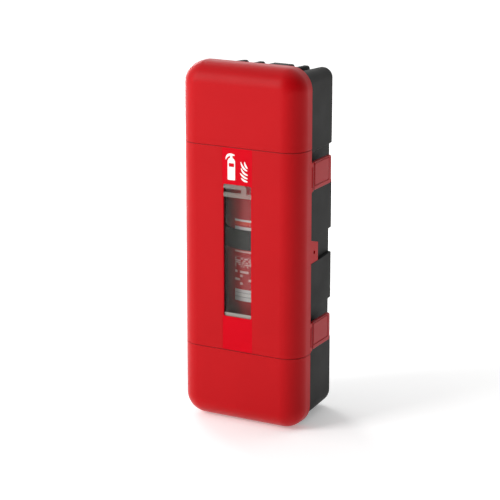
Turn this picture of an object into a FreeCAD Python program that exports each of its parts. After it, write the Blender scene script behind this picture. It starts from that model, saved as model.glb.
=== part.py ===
import FreeCAD, Part
import math
import os

# Wall and vehicle cabinet for a fire extinguisher, with its extinguisher.
# X to the right, Y to the back, Z up. The origin is the middle of the footprint, on the floor.

V = FreeCAD.Vector
X_AXIS = V(1, 0, 0)
Y_AXIS = V(0, 1, 0)
Z_AXIS = V(0, 0, 1)

# Overall
CABINET_D = 176.0
FRONT = -CABINET_D / 2
BACK = CABINET_D / 2
EPS = 0.5                      # how far a cutter runs past the face it opens
MOVING_GAP = 0.3               # clearance between pieces that move past each other
RUN_FIT = 0.06                 # radial running clearance on a hinge pin
LAP = 1.0                      # how far one body is sunk into another that it is joined to
ROOT = 2.0                     # how far an arm is sunk into the cover's rim

# Red cover, which opens as a door
COVER_W = 240.0
COVER_BOTTOM = 1.0
COVER_TOP = 650.0
COVER_DEPTH = 51.0
COVER_R = 40.0                 # corner radius seen from the front
COVER_EDGE = 36.0              # rounding of the front edge
COVER_WALL = 3.0
SEAM_LOW = 137.0
SEAM_TOP = 507.0
SEAM_GAP = 1.2
TONGUE = 14.0                  # overlap of the joining lip behind each seam
TONGUE_WALL = 2.0
RIM = FRONT + COVER_DEPTH
COVER_SCREW_R = 1.5
COVER_SCREW_HEAD_R = 3.0
COVER_SCREW_HEAD_T = 1.5
COVER_SCREW_SETBACK = 15.0     # from the rim to the screw axis
COVER_SCREW_SKIN = 1.0         # wall left in front of each screw tip

# Window, label and signs
WINDOW_W = 56.0
WINDOW_Z0 = 200.0
WINDOW_Z1 = 441.0
WINDOW_R = 3.0
PANE_T = 2.0
PANE_LAP = 6.0
GRIP_BAR_Z = (418.0, 426.0, 433.0, 440.4)      # foot and top of the two bars across the pane's head
GRIP_LINK_X = (8.0, 18.0)
GRIP_CORNER = 6.0
GRIP_GAP = 0.5                 # from the bars to the window's edge
GRIP_SINK = 0.4                # from the cover's front back to the face of the bars
RETAINER_LAP = 9.0
RETAINER_T = 4.0
PANE_SCREWS_A_SIDE = 4
PANE_SCREW_R = 1.25
PANE_SCREW_HEAD_R = 2.5
PANE_SCREW_HEAD_T = 1.4
PANE_SCREW_DEPTH = 1.6
LABEL_W = 60.0
LABEL_T = 0.4
SIGN_T = 0.2
SIGN_Z0 = 449.0
STROKE_STEPS = 8
FLAME_HALF = 1.8               # half the width of a flame stroke at its widest
ARCH_HALF = 2.2
FLAMES = (((7.3, 34.1), (11.0, 22.0), (20.2, 19.4)),       # start, bend and end of each stroke
          ((14.8, 35.0), (16.0, 27.5), (20.8, 23.8)),
          ((8.1, 23.0), (11.5, 13.5), (21.2, 11.7)),
          ((6.2, 14.1), (12.0, 7.0), (20.8, 5.6)),
          ((8.3, 5.7), (13.0, 0.6), (20.8, 0.2)))
SIGN_ARCH = ((-22.5, 36.0), (-20.0, 48.5), (-5.0, 44.5))
SIGN_BODY = ((-19.0, 1.0), (-18.0, 0.0), (-5.0, 0.0), (-4.0, 1.0), (-4.0, 34.0), (-6.0, 37.5), (-9.0, 39.5),
             (-9.5, 45.0), (-13.5, 45.5), (-14.0, 39.5), (-17.0, 37.5), (-19.0, 34.0))
SIGN_PANEL = ((-16.5, 23.5), (-6.0, 23.5), (-6.0, 30.0), (-16.5, 30.0))

# Dark-grey case
CASE_INSET = 9.5               # from the cover's side to the case's side at the rim
CASE_TAPER = 13.5              # how far each side leans in by the back
CASE_RIM_HALF = COVER_W / 2 - CASE_INSET
CASE_BACK_HALF = CASE_RIM_HALF - CASE_TAPER
CASE_TOP_DROP = 22.0           # at the rim, from the cover's top to the groove floors on the case's top
CASE_TOP_FALL = 6.0
CASE_TOP_RIM = COVER_TOP - CASE_TOP_DROP
CASE_TOP_BACK = CASE_TOP_RIM - CASE_TOP_FALL
CASE_R = 28.0
CASE_CROWN_R = 18.0            # rounding of the case's two top edges
CASE_BACK_EDGE = 8.0
CASE_WALL = 3.0
PLINTH_BAND = 14.0             # width of the plinth that the cabinet stands on
FLANGE_T = 3.0
FLANGE_SETBACK = 3.0           # from the cover's rim forward to the back of the flange
FLANGE_GAP = 1.0               # between the flange's edge and the cover's inside
CASE_FLOOR = COVER_BOTTOM + COVER_WALL + FLANGE_GAP   # underside of the case, above the plinth
FLANGE_BACK = RIM - FLANGE_SETBACK
FLANGE_FRONT = FLANGE_BACK - FLANGE_T
RECESS_DEPTH = 7.5
RECESS_CHAMFER = 5.0
RECESS_REACH = 30.0            # how far a recess cutter runs out past the case's side
LATCH_RECESSES = ((134.5, 210.0), (427.5, 497.0))
MIDDLE_RECESS = (294.0, 341.0)
RIB_H = 8.5                    # from the groove floors up to the top of the ribs
WIDE_RIB_HALF = 20.0
NARROW_RIB_X = (39.75, 50.25)
CORNER_RIB_X = 73.75           # inner side of the ribs that the case's corners make
RIB_ROUND = 2.5
BOLT_X = 60.0
BOLT_Z = (130.0, 530.0)
BOLT_R = 4.5

# Door hinge, on the left
HINGE_R = 4.5
HINGE_EDGE = 0.5               # from the knuckle to the plane of the cover's side
HINGE_SETBACK = 7.0            # from the cover's rim back to the hinge line
HINGE_X = HINGE_R + HINGE_EDGE - COVER_W / 2
HINGE_Y = RIM + HINGE_SETBACK
HINGE_PIN_R = 2.0
HINGE_Z = (70.0, 251.0, 387.0, 560.0)
HINGE_KNUCKLE = 14.0           # length of each knuckle
HINGE_WEB = 3.0                # how far the web reaches past the case's side
HINGE_WEB_FRONT = 2.5          # from the hinge line forward to the front of the case's web

# Side latches, on the right
LATCH_PIN_INSET = 9.0
LATCH_PIN_SETBACK = 13.0
LATCH_LENGTH = 80.0
LATCH_PIN_X = COVER_W / 2 - LATCH_PIN_INSET
LATCH_PIN_Y = RIM + LATCH_PIN_SETBACK
LATCH_PIN_R = 2.0
LATCH_KNUCKLE_R = 5.0
LATCH_Z = ((138.5, 189.5), (430.0, 481.0))
LATCH_EAR = 6.5
EAR_GAP = 0.6                  # from the case's flange to an ear
EAR_ROOT = 3.0                 # how far the foot of an ear rises above the rim
LATCH_WIDE_START = 7.5         # from the pin to where the plate is full width
LATCH_END = LATCH_PIN_Y + LATCH_LENGTH
LATCH_T = 4.0
LATCH_LEAN = 4.0               # how far the outer face leans in from front to back
LATCH_CORNER_R = 5.0
LATCH_PAD_T = 1.3
LATCH_PAD_EDGE = 3.5            # from the plate's front and top to the raised pad
LATCH_PAD_BACK = 11.2
LATCH_PAD_FOOT = 9.1
LATCH_HOOK_T = 5.0
LATCH_HOOK_REACH = 7.0
LATCH_HOOK_Y = LATCH_END - 14.0
CATCH_SLOPE = 15.0             # less than the angle at which the hook swings away with the cover
CATCH_RUN = 12.0
CATCH_NOSE = 6.0
CATCH_END_INSET = 12.0

# Seal tab on the cover's right rim
TAB_T = 3.0
TAB_X = COVER_W / 2 - 0.4
TAB_END = RIM + 26.5
TAB_HOLE_R = 3.25
TAB_HOLE_Y = RIM + 12.6
TAB_HOLE_Z = 321.0
TAB_ROOT_Z = (302.0, 345.0)
TAB_END_Z = (304.0, 337.0)

# Extinguisher
BOTTLE_R = 70.0
BOTTLE_WALL = 1.6
BOTTLE_BACK_GAP = 3.0          # from the bottle to the case's back wall
BOTTLE_Y = BACK - CASE_WALL - BOTTLE_BACK_GAP - BOTTLE_R
BASE_PAD_T = 6.0
BASE_PAD_INSET = 2.0
SKIRT_Z0 = CASE_FLOOR + CASE_WALL + BASE_PAD_T
SKIRT_H = 31.0
SKIRT_WALL = 3.5
SKIRT_LEDGE = 15.0
SKIRT_LIP = 4.0                # thickness of the ledge the bottle stands on
BOTTLE_Z0 = SKIRT_Z0 + SKIRT_LEDGE
FOOT_ROUND = 8.0               # how far the bottle's foot is rounded in
FOOT_STEP = 4.0                # height over which the bottle widens above its skirt
SHOULDER_Z = 440.0
SHOULDER_STEPS = 8
SHOULDER_RISE = 52.0
SHOULDER_TOP = SHOULDER_Z + SHOULDER_RISE
NECK_R = 17.0
NECK_TOP = SHOULDER_TOP + 10.0
POWDER_TOP = 330.0
TUBE_R = 8.0
TUBE_FOOT = BOTTLE_Z0 + 8.0
TUBE_WALL = 1.2
NECK_RING_R = 23.0
NECK_RING_T = 7.0
NECK_RING_Z = SHOULDER_TOP + 2.0
NECK_RING_CHAMFER = 1.5
STICKER_T = 0.25
STICKER_Z = (222.0, 374.0)
STICKER_ANGLE = 200.0

# Valve, handle and lever
VALVE_R = 14.0
VALVE_FOOT = SHOULDER_TOP - 6.0
VALVE_WAIST_Z = SHOULDER_TOP + 24.0          # above it the valve fits between the handle's cheeks
VALVE_TOP = SHOULDER_TOP + 57.0
VALVE_MID = SHOULDER_TOP + 38.0   # height of the gauge and of the outlet
VALVE_BORE_R = 5.0
VALVE_NUT_R = 18.0
VALVE_NUT_H = 8.0
VALVE_BLOCK_REACH = 20.0       # from the axis to the end of the block under the lever
STEM_FOOT = VALVE_MID - 8.0
STEM_R = 3.0
STEM_COLLAR_R = 6.0
STEM_COLLAR_Z = (VALVE_TOP + 8.5, VALVE_TOP + 10.5)
SPRING_R = 6.0
SPRING_BORE_R = 4.0
OUTLET_R = 8.0                 # over the thread
OUTLET_STUB_R = 7.0
OUTLET_BORE_R = 4.0
OUTLET_COLLAR_R = 10.0
OUTLET_COLLAR_T = 6.0
OUTLET_ROOT_X = 8.0            # inner end of the outlet, inside the valve
OUTLET_L = 22.0
THREAD_W = 1.25
THREAD_PITCH = 2.5
THREAD_TURNS = 5
PIVOT_X = 8.0
PIVOT_Z = VALVE_TOP + 12.0
STEM_TOP = PIVOT_Z + 4.6
RIVET_R = 2.5
RIVET_HEAD_R = 4.0
RIVET_HEAD_T = 1.2
HANDLE_OUT = 14.0              # half width over the handle's cheeks
SHEET = 2.0
LEVER_OUT = HANDLE_OUT - SHEET - MOVING_GAP
HANDLE_TIP = 88.0
GRIP_START = -20.0
GRIP_DROP = 8.0                # how far the handle's grip falls from root to tip
GRIP_LIP = 7.0                 # height of the lips along the grip
CURL = 6.0                     # how far the tips of the handle and the lever curl down
NECK_X = -38.0                 # where the cheeks end and the grip begins
CROWN = 6.0                    # sheet left around each hole
HANDLE_Z = VALVE_MID + 7.0               # underside of the handle's cheeks
LEVER_TRAVEL = 15.0
LEVER_SLOPE = 9.0              # degrees that the lever rises towards its tip at rest
LEVER_CROWN = 9.0              # from the pivot up to the lever's top
LEVER_FOOT = 3.5               # from the pivot down to the cheeks' underside
LEVER_LIP = 5.0
HANDLE_RIVET_X = -13.0
HANDLE_RIVET_Z = HANDLE_Z + 4.5
SAFETY_X = -26.0
SAFETY_R = 1.9
SAFETY_FIT = 0.1
SAFETY_HEAD = 3.2              # thickness of the flat head
SAFETY_HEAD_HALF = 3.5
SAFETY_STANDOFF = 5.0          # from the cheek to the middle of the head
SAFETY_TAIL = 6.0
RING_R = 11.0
RING_WIRE_R = 1.2
RING_HOLE_R = 1.6
GAUGE_R = 17.0
GAUGE_D = 14.0
GAUGE_STUB = 6.0
GAUGE_STUB_L = 8.0
GAUGE_STANDOFF = 2.0           # from the handle's cheek to the back of the gauge
GAUGE_WALL = 1.5
GAUGE_FLOOR = 7.0              # from the gauge's back to the floor of its cup
GAUGE_SPINDLE_R = 0.8
GAUGE_SPINDLE_L = 4.0
DIAL_T = 0.6
LENS_T = 1.6
NEEDLE_T = 0.8
NEEDLE_HUB_R = 2.2
NEEDLE_STANDOFF = 2.4          # from the cup's floor to the front of the needle
NEEDLE_L = 12.0
NEEDLE_TAIL = 4.0
NEEDLE_HALF = (1.1, 0.3)       # half width at the tail and at the point

# Retaining strap
STRAP_Z = (317.0, 353.0)
STRAP_T = 2.5
STRAP_GAP = 0.3
ANCHOR_D = 9.0
ANCHOR_OUT = 8.0
ANCHOR_IN = 4.0                # from the strap's inner face towards the bottle
ANCHOR_OVER = 4.0              # above and below the strap
BUCKLE_ANGLE = 45.0
BUCKLE_L = 32.0
BUCKLE_BASE = 2.4
BUCKLE_CHEEK = 4.0
BUCKLE_PIN_R = 1.5
BUCKLE_KNUCKLE_R = 3.0
BUCKLE_LIFT = 5.0
BUCKLE_PIN_X = 2 * BUCKLE_PIN_R - BUCKLE_L / 2
BUCKLE_HORN = 3.0              # how far the plate's ends hug the strap
BUCKLE_LEVER_T = 2.6
BUCKLE_LEVER_OVER = 3.0        # how far the lever's tip runs past the plate
BUCKLE_LEVER_CORNER = 6.0
SADDLE_HALF = 62.0
SADDLE_D = 18.0
SADDLE_H = 30.0
SADDLE_Z = (160.0, 400.0)
SADDLE_SCREW_X = 54.0
SADDLE_SCREW_R = 2.5
SADDLE_SCREW_HEAD_R = 4.5
SADDLE_SCREW_HEAD_T = 3.0
SADDLE_SCREW_SKIN = 1.0        # case wall left behind each screw

CASE_INSIDE_BACK = BACK - CASE_WALL


def box(x0, x1, y0, y1, z0, z1):
    return Part.makeBox(x1 - x0, y1 - y0, z1 - z0, V(x0, y0, z0))


def rod(start, direction, radius, length):
    return Part.makeCylinder(radius, length, start, direction)


def tube(start, direction, radius, bore, length):
    return rod(start, direction, radius, length).cut(rod(start, direction, bore, length))


def polygon(points):
    return Part.Face(Part.makePolygon(points + [points[0]]))


def prism_x(yz, x0, x1):
    return polygon([V(x0, y, z) for y, z in yz]).extrude(V(x1 - x0, 0, 0))


def prism_y(xz, y0, y1):
    return polygon([V(x, y0, z) for x, z in xz]).extrude(V(0, y1 - y0, 0))


def revolve_z(rz, centre):
    face = polygon([V(r, 0, z) for r, z in rz])
    solid = face.revolve(V(0, 0, 0), Z_AXIS, 360)
    solid.translate(centre)
    return solid


def mirror_x(shape):
    return shape.mirror(V(0, 0, 0), X_AXIS)


def edges_along(shape, axis):
    chosen = []
    for edge in shape.Edges:
        if len(edge.Vertexes) != 2:
            continue
        run = edge.Vertexes[1].Point - edge.Vertexes[0].Point
        if run.Length > 0 and abs(abs(run.dot(axis)) / run.Length - 1) < 1e-6:
            chosen.append(edge)
    return chosen


def group(solids):
    return Part.makeCompound(solids)


# ---------------------------------------------------------------- cover

def cover_block(inset):
    """Solid rounded block of the cover's outline, moved in by inset on every side but the open back."""
    half = COVER_W / 2 - inset
    block = box(-half, half, FRONT + inset, RIM, COVER_BOTTOM + inset, COVER_TOP - inset)
    block = block.makeFillet(COVER_R - inset, edges_along(block, Y_AXIS))
    front = [e for e in block.Edges if e.BoundBox.YMax < FRONT + inset + 0.01]
    return block.makeFillet(COVER_EDGE - inset, front)


def cover_shell(outer, inner):
    return cover_block(outer).cut(cover_block(inner))


def slab(z0, z1, y1=BACK):
    reach = COVER_W
    return box(-reach, reach, FRONT - reach, y1, z0, z1)


def seam_lip(seam):
    """Lip behind a seam that joins two sections of the cover, short of the case's flange."""
    ring = cover_shell(COVER_WALL, COVER_WALL + TONGUE_WALL)
    return ring.common(slab(seam - TONGUE, seam + TONGUE, FLANGE_FRONT - FLANGE_GAP))


def cover_screw_places():
    y = RIM - COVER_SCREW_SETBACK
    heights = (SEAM_LOW + TONGUE / 2, SEAM_TOP - TONGUE / 2)
    return [(side, y, z) for side in (-1, 1) for z in heights]


def cover_screws():
    inside = COVER_W / 2 - COVER_WALL - TONGUE_WALL
    length = COVER_WALL + TONGUE_WALL - COVER_SCREW_SKIN
    screws = []
    for side, y, z in cover_screw_places():
        out = V(side, 0, 0)
        seat = V(side * inside, y, z)
        head = rod(seat - out * COVER_SCREW_HEAD_T, out, COVER_SCREW_HEAD_R, COVER_SCREW_HEAD_T)
        screws.append(head.fuse(rod(seat, out, COVER_SCREW_R, length)).removeSplitter())
    return group(screws)


def hinge_web(z0, z1):
    """Block that ties a door knuckle to the cover's rim."""
    return box(HINGE_X - HINGE_R, HINGE_X + LAP, RIM - ROOT, HINGE_Y, z0, z1)


def door_knuckles(z):
    """The two door knuckles of one hinge, above and below the case's knuckle."""
    knuckles = []
    for side in (-1, 1):
        low = z + HINGE_KNUCKLE / 2 + MOVING_GAP
        if side < 0:
            low = z - HINGE_KNUCKLE * 1.5 - MOVING_GAP
        ring = rod(V(HINGE_X, HINGE_Y, low), Z_AXIS, HINGE_R, HINGE_KNUCKLE)
        knuckles.append(ring.fuse(hinge_web(low, low + HINGE_KNUCKLE)))
    bore = rod(V(HINGE_X, HINGE_Y, z - HINGE_KNUCKLE * 2), Z_AXIS, HINGE_PIN_R + RUN_FIT, HINGE_KNUCKLE * 4)
    return [k.cut(bore) for k in knuckles]


def latch_ears(z0, z1):
    """The two ears on the cover's rim that carry one latch pin."""
    ears = []
    inside = COVER_W / 2 - COVER_WALL
    for low in (z0, z1 - LATCH_EAR):
        high = low + LATCH_EAR
        eye = rod(V(LATCH_PIN_X, LATCH_PIN_Y, low), Z_AXIS, LATCH_KNUCKLE_R, LATCH_EAR)
        web = box(LATCH_PIN_X - LATCH_KNUCKLE_R, LATCH_PIN_X + LATCH_KNUCKLE_R,
                  FLANGE_BACK + EAR_GAP, LATCH_PIN_Y, low, high)
        root = box(LATCH_PIN_X, inside + COVER_WALL - EPS, RIM - ROOT, RIM + EAR_ROOT, low, high)
        bore = rod(V(LATCH_PIN_X, LATCH_PIN_Y, low), Z_AXIS, LATCH_PIN_R, LATCH_EAR)
        ears.append(eye.fuse(web).fuse(root).cut(bore))
    return ears


def seal_tab():
    """Tab with a hole for a tamper seal, in the plane of the cover's right side."""
    yz = [(RIM - ROOT, TAB_ROOT_Z[0]), (TAB_END, TAB_END_Z[0]), (TAB_END, TAB_END_Z[1]),
          (RIM - ROOT, TAB_ROOT_Z[1])]
    tab = prism_x(yz, TAB_X - TAB_T, TAB_X)
    return tab.cut(rod(V(TAB_X - TAB_T - EPS, TAB_HOLE_Y, TAB_HOLE_Z), X_AXIS, TAB_HOLE_R, TAB_T + 2 * EPS))


def clip_knuckles(z0, z1):
    """Door knuckles whose middle lies between two heights."""
    found = []
    for z in HINGE_Z:
        if z0 < z < z1:
            found += door_knuckles(z)
    return found


def upper_cover():
    skin = cover_shell(0, COVER_WALL).common(slab(SEAM_TOP + SEAM_GAP / 2, COVER_TOP + EPS))
    cover = skin.fuse([seam_lip(SEAM_TOP)] + clip_knuckles(SEAM_TOP, COVER_TOP))
    return cover.cut(cover_screws()).removeSplitter()


def lower_cover():
    skin = cover_shell(0, COVER_WALL).common(slab(COVER_BOTTOM - EPS, SEAM_LOW - SEAM_GAP / 2))
    cover = skin.fuse([seam_lip(SEAM_LOW)] + clip_knuckles(COVER_BOTTOM, SEAM_LOW))
    return cover.cut(cover_screws()).removeSplitter()


def window_block(grow, y0, y1):
    half = WINDOW_W / 2 + grow
    block = box(-half, half, y0, y1, WINDOW_Z0 - grow, WINDOW_Z1 + grow)
    return block.makeFillet(WINDOW_R + grow, edges_along(block, Y_AXIS))


def window_cut():
    return window_block(0, FRONT - EPS, FRONT + COVER_WALL + EPS)


def label_block(y0, y1):
    low = SEAM_LOW + SEAM_GAP
    return box(-LABEL_W / 2, LABEL_W / 2, FRONT + y0, FRONT + y1, low, SEAM_TOP - SEAM_GAP)


def middle_cover():
    skin = cover_shell(0, COVER_WALL).common(slab(SEAM_LOW + SEAM_GAP / 2, SEAM_TOP - SEAM_GAP / 2))
    additions = clip_knuckles(SEAM_LOW, SEAM_TOP) + [seal_tab()]
    for z0, z1 in LATCH_Z:
        additions += latch_ears(z0, z1)
    cover = skin.fuse(additions).cut(window_cut())
    cover = cover.cut(label_block(-EPS, LABEL_T + SIGN_T))
    return cover.cut([cover_screws(), pane_screws()]).removeSplitter()


def front_label():
    label = label_block(SIGN_T, SIGN_T + LABEL_T)
    return label.cut(window_cut())


def pane_grip():
    """Two bars moulded across the head of the pane, joined by a link."""
    foot, low, high, top = GRIP_BAR_Z
    inner, outer = GRIP_LINK_X
    half = WINDOW_W / 2
    y0 = FRONT + GRIP_SINK
    y1 = FRONT + COVER_WALL
    hook = box(-half, outer, y0, y1, low - LAP, top).cut(box(-half, inner, y0, y1, low, high))
    across = edges_along(hook, Y_AXIS)
    corner = [e for e in across if e.BoundBox.XMin > inner + EPS and e.BoundBox.ZMin > high]
    hook = hook.makeFillet(GRIP_CORNER, corner)
    grip = hook.fuse(box(-half, half, y0, y1, foot, low))
    return grip.common(window_block(-GRIP_GAP, y0, y1))


def window_pane():
    inside = FRONT + COVER_WALL
    return window_block(PANE_LAP, inside, inside + PANE_T).fuse(pane_grip()).removeSplitter()


def window_retainer():
    inside = FRONT + COVER_WALL
    frame = window_block(PANE_LAP + RETAINER_LAP, inside, inside + RETAINER_T)
    frame = frame.cut(window_block(0, inside - EPS, inside + RETAINER_T + EPS))
    frame = frame.cut(window_pane())
    return frame.cut(pane_screws())


def pane_screws():
    seat = FRONT + COVER_WALL + RETAINER_T
    reach = WINDOW_W / 2 + PANE_LAP + RETAINER_LAP / 2
    step = (WINDOW_Z1 - WINDOW_Z0) / (PANE_SCREWS_A_SIDE - 1)
    forward = V(0, -1, 0)
    screws = []
    for side in (-1, 1):
        for k in range(PANE_SCREWS_A_SIDE):
            start = V(side * reach, seat, WINDOW_Z0 + k * step)
            head = rod(start - forward * PANE_SCREW_HEAD_T, forward, PANE_SCREW_HEAD_R, PANE_SCREW_HEAD_T)
            shank = rod(start, forward, PANE_SCREW_R, RETAINER_T + PANE_SCREW_DEPTH)
            screws.append(head.fuse(shank).removeSplitter())
    return group(screws)


def sign(points):
    """Flat sign from outline points, x from the middle and z up from the foot of the signs."""
    return prism_y([(x, SIGN_Z0 + z) for x, z in points], FRONT, FRONT + SIGN_T)


def sign_stroke(start, bend, end, half):
    """Curved stroke that thins towards both ends."""
    upper = []
    lower = []
    for k in range(STROKE_STEPS + 1):
        t = k / STROKE_STEPS
        x, z = [(1 - t) ** 2 * a + 2 * t * (1 - t) * b + t * t * c for a, b, c in zip(start, bend, end)]
        dx, dz = [(1 - t) * (b - a) + t * (c - b) for a, b, c in zip(start, bend, end)]
        width = half * math.sin(math.pi * (0.1 + 0.75 * t)) / math.hypot(dx, dz)
        upper.append((x - dz * width, z + dx * width))
        lower.append((x + dz * width, z - dx * width))
    return sign(upper + lower[::-1])


def extinguisher_sign():
    body = sign(SIGN_BODY).fuse(sign_stroke(*SIGN_ARCH, ARCH_HALF))
    return body.cut(sign(SIGN_PANEL)).removeSplitter()


def flame_sign():
    """Leaning strokes of flame, one above another."""
    return group([sign_stroke(*flame, FLAME_HALF) for flame in FLAMES])


# ---------------------------------------------------------------- case

def case_half(y):
    """Half width of the case's side at depth y: it narrows towards the back."""
    share = (y - FLANGE_BACK) / (BACK - FLANGE_BACK)
    return CASE_RIM_HALF + (CASE_BACK_HALF - CASE_RIM_HALF) * share


def case_top(y):
    share = (y - FLANGE_BACK) / (BACK - FLANGE_BACK)
    return CASE_TOP_RIM + (CASE_TOP_BACK - CASE_TOP_RIM) * share


def case_section(y, inset, rise):
    """Rounded outline of the case at depth y, moved in by inset; rise lifts the top over the grooves."""
    half = case_half(y) - inset
    top = case_top(y) + rise - inset
    plate = box(-half, half, y, y + 1, CASE_FLOOR + inset, top)
    lower = [e for e in edges_along(plate, Y_AXIS) if e.BoundBox.ZMax < CASE_FLOOR + CASE_R]
    plate = plate.makeFillet(CASE_R - inset, lower)
    upper = [e for e in edges_along(plate, Y_AXIS) if e.BoundBox.ZMin > top - EPS]
    plate = plate.makeFillet(CASE_CROWN_R - inset, upper)
    faces = [f for f in plate.Faces if f.BoundBox.YMax < y + 0.01]
    return faces[0].OuterWire


def case_block(inset, rise, y0, y1):
    return Part.makeLoft([case_section(y0, inset, rise), case_section(y1, inset, rise)], True, True)


def recess_cut(z0, z1, grow, y0, y1):
    """Cutter for one stepped recess in the case's right side, following the side's slope."""
    depth = RECESS_DEPTH + grow
    low = z0 - grow
    high = z1 + grow
    dz = [(RECESS_REACH, low), (-depth, low), (-depth, high - RECESS_CHAMFER), (0, high),
          (RECESS_REACH, high)]
    wires = []
    for y in (y0, y1):
        points = [V(case_half(y) + d, y, z) for d, z in dz]
        wires.append(Part.makePolygon(points + [points[0]]))
    return Part.makeLoft(wires, True, True)


def recesses(grow, y0, y1):
    cutters = []
    for z0, z1 in LATCH_RECESSES + (MIDDLE_RECESS,):
        right = recess_cut(z0, z1, grow, y0, y1)
        cutters += [right, mirror_x(right)]
    return cutters


def flange():
    """Flat rim of the case, just inside the cover."""
    inset = COVER_WALL + FLANGE_GAP
    half = COVER_W / 2 - inset
    plate = box(-half, half, FLANGE_FRONT, FLANGE_BACK, COVER_BOTTOM + inset, COVER_TOP - inset)
    return plate.makeFillet(COVER_R - inset, edges_along(plate, Y_AXIS))


def plinth():
    """Low frame under the case, behind the cover's rim, that the cabinet stands on."""
    front = RIM + FLANGE_GAP
    half = CASE_BACK_HALF - CASE_R
    back = BACK - CASE_BACK_EDGE
    frame = box(-half, half, front, back, 0, CASE_FLOOR + CASE_WALL / 2)
    frame = frame.makeFillet(CASE_BACK_EDGE, edges_along(frame, Z_AXIS))
    inner = box(-half + PLINTH_BAND, half - PLINTH_BAND, front + PLINTH_BAND, back - PLINTH_BAND,
                -EPS, CASE_FLOOR)
    return frame.cut(inner)


def top_grooves():
    """Cutters for the four grooves in the case's top, which leave five ribs standing between them."""
    end = BACK + EPS
    high = CASE_TOP_RIM + RIB_H + EPS
    yz = [(FLANGE_BACK, case_top(FLANGE_BACK)), (end, case_top(end)), (end, high), (FLANGE_BACK, high)]
    cutters = []
    for x0, x1 in ((WIDE_RIB_HALF, NARROW_RIB_X[0]), (NARROW_RIB_X[1], CORNER_RIB_X)):
        groove = prism_x(yz, x0, x1)
        cutters += [groove, mirror_x(groove)]
    return cutters


def round_rib_tops(block):
    """Rounds the long upper edges of the ribs."""
    lowest = CASE_TOP_BACK + RIB_H / 2
    chosen = []
    for edge in block.Edges:
        box_of_edge = edge.BoundBox
        along = box_of_edge.YLength > CABINET_D / 3
        if along and box_of_edge.ZMin > lowest and abs(box_of_edge.Center.x) < CORNER_RIB_X + EPS:
            chosen.append(edge)
    return block.makeFillet(RIB_ROUND, chosen)


def case_knuckles():
    """Middle knuckle of each hinge, with the web that ties it to the case's left side."""
    pieces = []
    for z in HINGE_Z:
        low = z - HINGE_KNUCKLE / 2
        ring = rod(V(HINGE_X, HINGE_Y, low), Z_AXIS, HINGE_R, HINGE_KNUCKLE)
        web = box(HINGE_X, -case_half(HINGE_Y) + HINGE_WEB, HINGE_Y - HINGE_WEB_FRONT, HINGE_Y + HINGE_R,
                  low, low + HINGE_KNUCKLE)
        pieces.append(ring.fuse(web))
    return pieces


def hinge_pins():
    length = HINGE_KNUCKLE * 3 + MOVING_GAP * 2
    return group([rod(V(HINGE_X, HINGE_Y, z - length / 2), Z_AXIS, HINGE_PIN_R, length) for z in HINGE_Z])


def catches():
    """Ramped catch under and ahead of each latch's hook, on the floor of its recess."""
    pieces = []
    for z0, z1 in LATCH_Z:
        hook_front = LATCH_HOOK_Y - LATCH_HOOK_T
        seat = latch_hook_tip() - MOVING_GAP
        peak = hook_front - CATCH_RUN
        nose = peak - CATCH_NOSE
        rise = CATCH_RUN * math.tan(math.radians(CATCH_SLOPE))
        root = RECESS_DEPTH + CASE_WALL / 2
        points = [(case_half(LATCH_HOOK_Y) - root, LATCH_HOOK_Y), (seat, LATCH_HOOK_Y), (seat, hook_front),
                  (seat + rise, peak), (case_half(nose) - root, nose)]
        low = z0 + CATCH_END_INSET
        face = polygon([V(x, y, low) for x, y in points])
        pieces.append(face.extrude(V(0, 0, z1 - z0 - 2 * CATCH_END_INSET)))
    return pieces


def rear_shell():
    block = case_block(0, RIB_H, FLANGE_FRONT, BACK)
    back_edges = [e for e in block.Edges if e.BoundBox.YMin > BACK - 0.01]
    block = block.makeFillet(CASE_BACK_EDGE, back_edges).cut(top_grooves())
    block = round_rib_tops(block).fuse([flange(), plinth()])
    block = block.cut(recesses(0, FLANGE_FRONT - EPS, BACK + EPS))
    cavity = case_block(CASE_WALL, 0, FLANGE_FRONT - EPS, CASE_INSIDE_BACK)
    cavity = cavity.cut(recesses(CASE_WALL, FLANGE_FRONT - 2 * EPS, BACK + EPS))
    shell = block.cut(cavity).fuse(case_knuckles() + catches())
    holes = [rod(V(sx * BOLT_X, CASE_INSIDE_BACK - EPS, z), Y_AXIS, BOLT_R, CASE_WALL + 2 * EPS)
             for sx in (-1, 1) for z in BOLT_Z]
    return shell.cut(holes + [hinge_pins(), saddle_screws()]).removeSplitter()


# ---------------------------------------------------------------- latches

def latch_face(y):
    """Outer face of a latch plate at depth y."""
    share = (y - LATCH_PIN_Y) / (LATCH_END - LATCH_PIN_Y)
    return LATCH_PIN_X + LATCH_KNUCKLE_R / 2 - LATCH_LEAN * share


def latch_hook_tip():
    return latch_face(LATCH_HOOK_Y) - LATCH_T - LATCH_HOOK_REACH


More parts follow.
